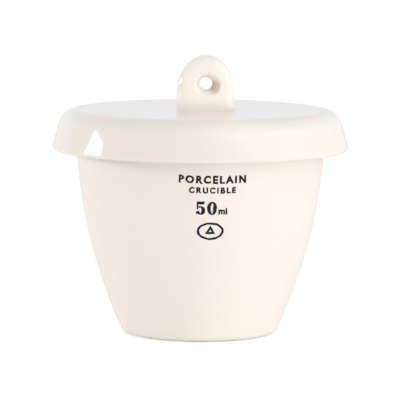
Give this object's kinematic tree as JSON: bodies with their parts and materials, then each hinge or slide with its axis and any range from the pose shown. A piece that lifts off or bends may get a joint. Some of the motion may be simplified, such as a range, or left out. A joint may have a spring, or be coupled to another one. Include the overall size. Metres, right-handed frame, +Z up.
{
  "type": "laboratory crucible with lid",
  "caption": "Small glazed porcelain crucible with a flat foot, flaring wall and a loose overhanging lid that lifts by a pierced lug.",
  "frame": {"origin": "centre of the crucible's flat foot, on the surface it stands on", "axes": "+Z up along the axis of the cup; the hole in the lug runs along Y, so the flat faces of the lug look along -Y and +Y; +X is the side towards which the lug sits off centre"},
  "size_m": [0.06, 0.06, 0.0563],
  "materials": {
    "cup_porcelain": "gloss",
    "lid_porcelain": "gloss",
    "lug_porcelain": "gloss",
    "slip_porcelain": "gloss",
    "marking_ink": "gloss"
  },
  "bodies": {
    "cup": {"crucible": "cup_porcelain"},
    "lid": {"lid_plate": "lid_porcelain", "lug": "lug_porcelain", "lug_luting": "slip_porcelain"}
  },
  "joints": [
    {"name": "lid_lift", "type": "slide", "parent": "cup", "child": "lid", "axis": [0, 0, 1], "range_m": [0, 0.035]}
  ]
}
